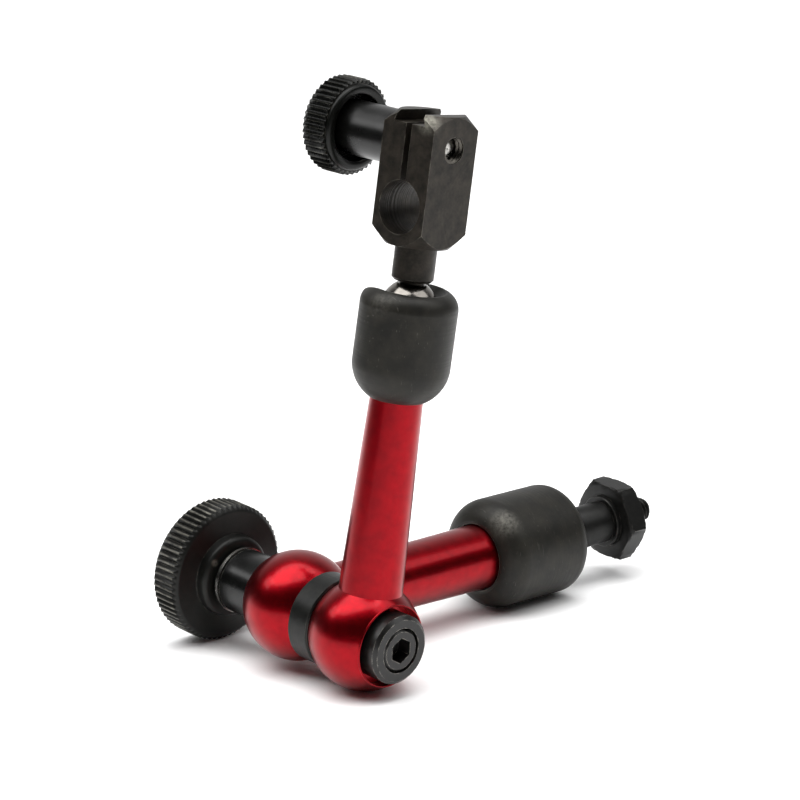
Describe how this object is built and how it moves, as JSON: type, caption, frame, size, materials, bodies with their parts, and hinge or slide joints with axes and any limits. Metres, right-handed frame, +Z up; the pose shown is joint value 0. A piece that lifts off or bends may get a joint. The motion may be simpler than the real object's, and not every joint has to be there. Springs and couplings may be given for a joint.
{
  "type": "articulated indicator holding arm",
  "caption": "Articulated holding arm: two short arms on one central lock with a knurled knob, ball joints at both ends, a threaded stud and a split clamp with stem bore and dovetail groove.",
  "frame": {"origin": "middle of the footprint's bounding box, on the bench the arm stands on", "axes": "+Z up along the standing upper arm, +Y along the lower arm towards its stud, -X towards the lock knob"},
  "size_m": [0.0488, 0.0852, 0.0906],
  "materials": {
    "red_anodised": "clear gloss over red metal",
    "blued_steel": "matte blackened, lightly scratched",
    "black_oxide_steel": "satin black oxide",
    "polished_black_steel": "glossy black",
    "polished_ball_steel": "polished",
    "grey_satin_steel": "satin grey",
    "bright_steel": "plain turned"
  },
  "bodies": {
    "lower_arm": {"lower_hub": "red_anodised", "lower_tube": "red_anodised", "lower_sleeve": "blued_steel", "spacer_ring": "blued_steel", "knob_collar": "polished_black_steel", "thrust_washer": "bright_steel", "disc_spring": "bright_steel"},
    "upper_arm": {"upper_hub": "red_anodised", "upper_tube": "red_anodised", "end_cap": "polished_black_steel"},
    "knob": {"lock_knob": "black_oxide_steel"},
    "bolt": {"draw_bolt": "polished_black_steel", "upper_cam": "bright_steel", "cam_spacer": "bright_steel", "lower_cam": "bright_steel", "cam_nut": "bright_steel"},
    "lower_rod": {"lower_push_rod": "bright_steel"},
    "upper_rod": {"upper_push_rod": "bright_steel"},
    "lower_seat": {"lower_ball_seat": "bright_steel"},
    "lower_joint_ball": {"lower_ball": "polished_ball_steel"},
    "stud": {"lower_stud": "black_oxide_steel"},
    "upper_seat": {"upper_sleeve": "blued_steel", "upper_ball_seat": "bright_steel"},
    "upper_joint_ball": {"upper_ball": "polished_ball_steel"},
    "clamp": {"upper_neck": "black_oxide_steel", "clamp_block": "black_oxide_steel"},
    "clamp_tube": {"clamp_spacer": "grey_satin_steel"},
    "clamp_handle": {"clamp_knob": "black_oxide_steel", "clamp_screw": "polished_black_steel"}
  },
  "joints": [
    {"name": "elbow", "type": "hinge", "parent": "lower_arm", "child": "upper_arm", "pos_m": [0.01335, -0.03173, 0.0085], "axis": [0.9973, 0, -0.0736], "range_deg": [-62, 250]},
    {"name": "lock_turn", "type": "hinge", "parent": "lower_arm", "child": "knob", "pos_m": [-0.02155, -0.03173, 0.01108], "axis": [-0.9973, 0, 0.0736], "range_deg": [0, 360]},
    {"name": "bolt_draw", "type": "slide", "parent": "lower_arm", "child": "bolt", "axis": [0.9973, 0, -0.0736], "range_m": [0, 0.0007]},
    {"name": "lower_rod_slide", "type": "slide", "parent": "lower_arm", "child": "lower_rod", "axis": [0.0011, -0.9999, 0.0153], "range_m": [0, 0.00014]},
    {"name": "upper_rod_slide", "type": "slide", "parent": "upper_arm", "child": "upper_rod", "axis": [-0.0731, -0.1201, -0.9901], "range_m": [0, 0.00014]},
    {"name": "lower_ball_swivel", "type": "hinge", "parent": "lower_arm", "child": "lower_seat", "pos_m": [-0.00166, 0.02027, 0.00881], "axis": [-0.0011, 0.9999, -0.0153], "continuous": true},
    {"name": "lower_ball_tilt", "type": "hinge", "parent": "lower_seat", "child": "lower_joint_ball", "pos_m": [-0.00166, 0.02027, 0.00881], "axis": [0.0736, 0.0154, 0.9972], "range_deg": [-20, 25]},
    {"name": "stud_spin", "type": "hinge", "parent": "lower_joint_ball", "child": "stud", "pos_m": [-0.00166, 0.02027, 0.00881], "axis": [0.0531, 0.998, 0.0331], "continuous": true},
    {"name": "upper_ball_swivel", "type": "hinge", "parent": "upper_arm", "child": "upper_seat", "pos_m": [0.01705, -0.02565, 0.0586], "axis": [0.0731, 0.1201, 0.9901], "continuous": true},
    {"name": "upper_ball_tilt", "type": "hinge", "parent": "upper_seat", "child": "upper_joint_ball", "pos_m": [0.01705, -0.02565, 0.0586], "axis": [0.0088, -0.9928, 0.1198], "range_deg": [-28, 80]},
    {"name": "clamp_spin", "type": "hinge", "parent": "upper_joint_ball", "child": "clamp", "pos_m": [0.01705, -0.02565, 0.0586], "axis": [0.0293, 0.1477, 0.9886], "continuous": true},
    {"name": "clamp_loosen", "type": "slide", "parent": "clamp", "child": "clamp_tube", "axis": [-0.9973, -0.0616, 0.0387], "range_m": [0, 0.0007]},
    {"name": "clamp_turn", "type": "hinge", "parent": "clamp_tube", "child": "clamp_handle", "pos_m": [0.0018, -0.02305, 0.08319], "axis": [-0.9973, -0.0616, 0.0387], "range_deg": [0, 360]}
  ],
  "couplings": [
    {"joint": "bolt_draw", "follows": "lock_turn", "m_per_rad": 0.00011141},
    {"joint": "lower_rod_slide", "follows": "lock_turn", "m_per_rad": 0.000022282},
    {"joint": "upper_rod_slide", "follows": "lock_turn", "m_per_rad": 0.000022282},
    {"joint": "clamp_turn", "follows": "clamp_loosen", "rad_per_m": 8976}
  ]
}
